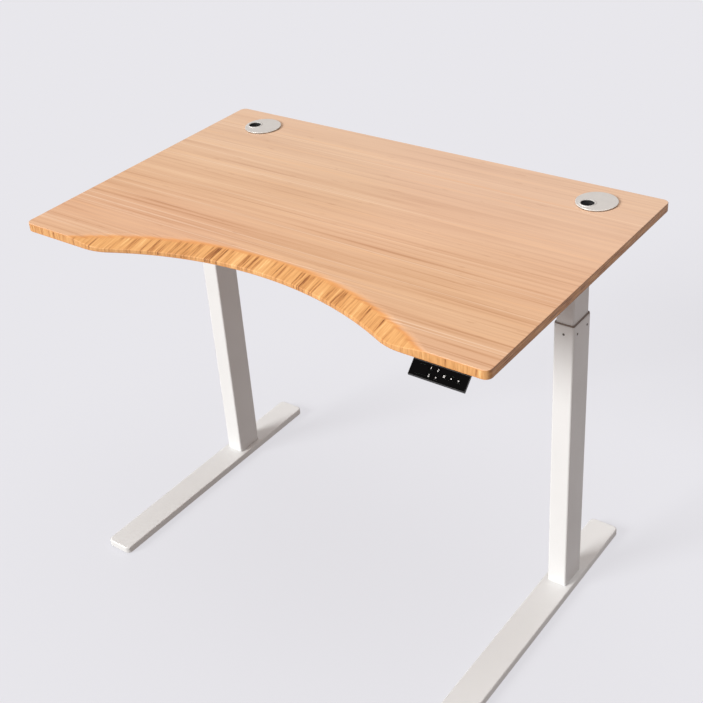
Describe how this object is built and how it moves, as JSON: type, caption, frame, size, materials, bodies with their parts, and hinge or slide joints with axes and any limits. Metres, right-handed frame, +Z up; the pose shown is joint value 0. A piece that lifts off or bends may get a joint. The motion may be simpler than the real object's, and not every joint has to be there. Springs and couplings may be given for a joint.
{
  "type": "height adjustable standing desk",
  "caption": "Height adjustable standing desk: bamboo top with a scooped front edge, two white steel lifting columns on flat feet, cable grommets and a handset.",
  "frame": {"origin": "on the floor, under the middle of the desk's plan box, which is 10 mm in front of the middle of the desktop because the handset stands proud of the front edge", "axes": "+X to the user's right, along the desktop's length; -Y towards the user; +Z up"},
  "size_m": [1.1, 0.72, 0.8545],
  "materials": {
    "bamboo": "satin lacquered caramelised bamboo, grain along X",
    "white_steel": "fine textured white powder coat",
    "brushed_silver": "satin plated, turned",
    "black_plastic": "fine spark texture",
    "gloss_black": "polished",
    "grey_plastic": "moulded",
    "nylon": "moulded",
    "bare_steel": "machined",
    "cast_aluminium": "as cast",
    "circuit_board": "solder mask",
    "cable_jacket": "matt PVC"
  },
  "bodies": {
    "base": {"outer_tube_left": "white_steel", "glide_collar_left": "grey_plastic", "base_plate_left": "bare_steel", "nut_tube_left": "bare_steel", "spindle_nut_left": "nylon", "foot_left": "white_steel", "outer_tube_right": "white_steel", "glide_collar_right": "grey_plastic", "base_plate_right": "bare_steel", "nut_tube_right": "bare_steel", "spindle_nut_right": "nylon", "foot_right": "white_steel"},
    "carriage": {"desktop": "bamboo", "grommet_sleeve_left": "black_plastic", "grommet_sleeve_right": "black_plastic", "inner_tube_left": "white_steel", "side_bracket_left": "white_steel", "gearbox_left": "cast_aluminium", "top_plate_left": "bare_steel", "motor_left": "bare_steel", "motor_cover_left": "black_plastic", "inner_tube_right": "white_steel", "side_bracket_right": "white_steel", "gearbox_right": "cast_aluminium", "top_plate_right": "bare_steel", "motor_right": "bare_steel", "motor_cover_right": "black_plastic", "crossbar_front": "white_steel", "crossbar_front_end_left": "white_steel", "crossbar_front_end_right": "white_steel", "crossbar_rear": "white_steel", "crossbar_rear_end_left": "white_steel", "crossbar_rear_end_right": "white_steel", "control_box_case": "black_plastic", "control_box_lid": "black_plastic", "mains_inlet": "black_plastic", "handset_case": "black_plastic", "handset_face": "gloss_black", "handset_display": "gloss_black", "handset_board": "circuit_board", "motor_lead_left": "cable_jacket", "motor_lead_right": "cable_jacket", "handset_lead": "cable_jacket"},
    "screw_left": {"spindle_left": "bare_steel"},
    "cable_cap_left": {"grommet_cap_left": "brushed_silver"},
    "screw_right": {"spindle_right": "bare_steel"},
    "cable_cap_right": {"grommet_cap_right": "brushed_silver"},
    "button_memory_1": {"key_memory_1": "gloss_black"},
    "button_memory_2": {"key_memory_2": "gloss_black"},
    "button_memory_3": {"key_memory_3": "gloss_black"},
    "button_memory_4": {"key_memory_4": "gloss_black"},
    "button_store": {"key_store": "gloss_black"},
    "button_raise": {"key_raise": "gloss_black"},
    "button_lower": {"key_lower": "gloss_black"},
    "level_front_left": {"leveller_front_left": "black_plastic"},
    "level_front_right": {"leveller_front_right": "black_plastic"},
    "level_rear_left": {"leveller_rear_left": "black_plastic"},
    "level_rear_right": {"leveller_rear_right": "black_plastic"}
  },
  "joints": [
    {"name": "lift", "type": "slide", "parent": "base", "child": "carriage", "axis": [0, 0, 1], "range_m": [-0.105, 0.375]},
    {"name": "spindle_turn_left", "type": "hinge", "parent": "carriage", "child": "screw_left", "pos_m": [-0.466, 0.118, 0.5], "axis": [0, 0, 1], "range_deg": [-4800, 17000]},
    {"name": "cap_turn_left", "type": "hinge", "parent": "carriage", "child": "cable_cap_left", "pos_m": [-0.428, 0.286, 0.852], "axis": [0, 0, 1], "continuous": true},
    {"name": "spindle_turn_right", "type": "hinge", "parent": "carriage", "child": "screw_right", "pos_m": [0.466, 0.118, 0.5], "axis": [0, 0, 1], "range_deg": [-4800, 17000]},
    {"name": "cap_turn_right", "type": "hinge", "parent": "carriage", "child": "cable_cap_right", "pos_m": [0.428, 0.286, 0.852], "axis": [0, 0, 1], "continuous": true},
    {"name": "press_memory_1", "type": "slide", "parent": "carriage", "child": "button_memory_1", "axis": [0, 0.7071, -0.7071], "range_m": [0, 0.0006], "stiffness_N_per_m": 2500},
    {"name": "press_memory_2", "type": "slide", "parent": "carriage", "child": "button_memory_2", "axis": [0, 0.7071, -0.7071], "range_m": [0, 0.0006], "stiffness_N_per_m": 2500},
    {"name": "press_memory_3", "type": "slide", "parent": "carriage", "child": "button_memory_3", "axis": [0, 0.7071, -0.7071], "range_m": [0, 0.0006], "stiffness_N_per_m": 2500},
    {"name": "press_memory_4", "type": "slide", "parent": "carriage", "child": "button_memory_4", "axis": [0, 0.7071, -0.7071], "range_m": [0, 0.0006], "stiffness_N_per_m": 2500},
    {"name": "press_store", "type": "slide", "parent": "carriage", "child": "button_store", "axis": [0, 0.7071, -0.7071], "range_m": [0, 0.0006], "stiffness_N_per_m": 2500},
    {"name": "press_raise", "type": "slide", "parent": "carriage", "child": "button_raise", "axis": [0, 0.7071, -0.7071], "range_m": [0, 0.0006], "stiffness_N_per_m": 2500},
    {"name": "press_lower", "type": "slide", "parent": "carriage", "child": "button_lower", "axis": [0, 0.7071, -0.7071], "range_m": [0, 0.0006], "stiffness_N_per_m": 2500},
    {"name": "leveller_front_left_travel", "type": "slide", "parent": "base", "child": "level_front_left", "axis": [0, 0, -1], "range_m": [0, 0.008]},
    {"name": "leveller_front_right_travel", "type": "slide", "parent": "base", "child": "level_front_right", "axis": [0, 0, -1], "range_m": [0, 0.008]},
    {"name": "leveller_rear_left_travel", "type": "slide", "parent": "base", "child": "level_rear_left", "axis": [0, 0, -1], "range_m": [0, 0.008]},
    {"name": "leveller_rear_right_travel", "type": "slide", "parent": "base", "child": "level_rear_right", "axis": [0, 0, -1], "range_m": [0, 0.008]}
  ],
  "couplings": [
    {"joint": "spindle_turn_left", "follows": "lift", "rad_per_m": 785.4},
    {"joint": "spindle_turn_right", "follows": "lift", "rad_per_m": 785.4}
  ]
}
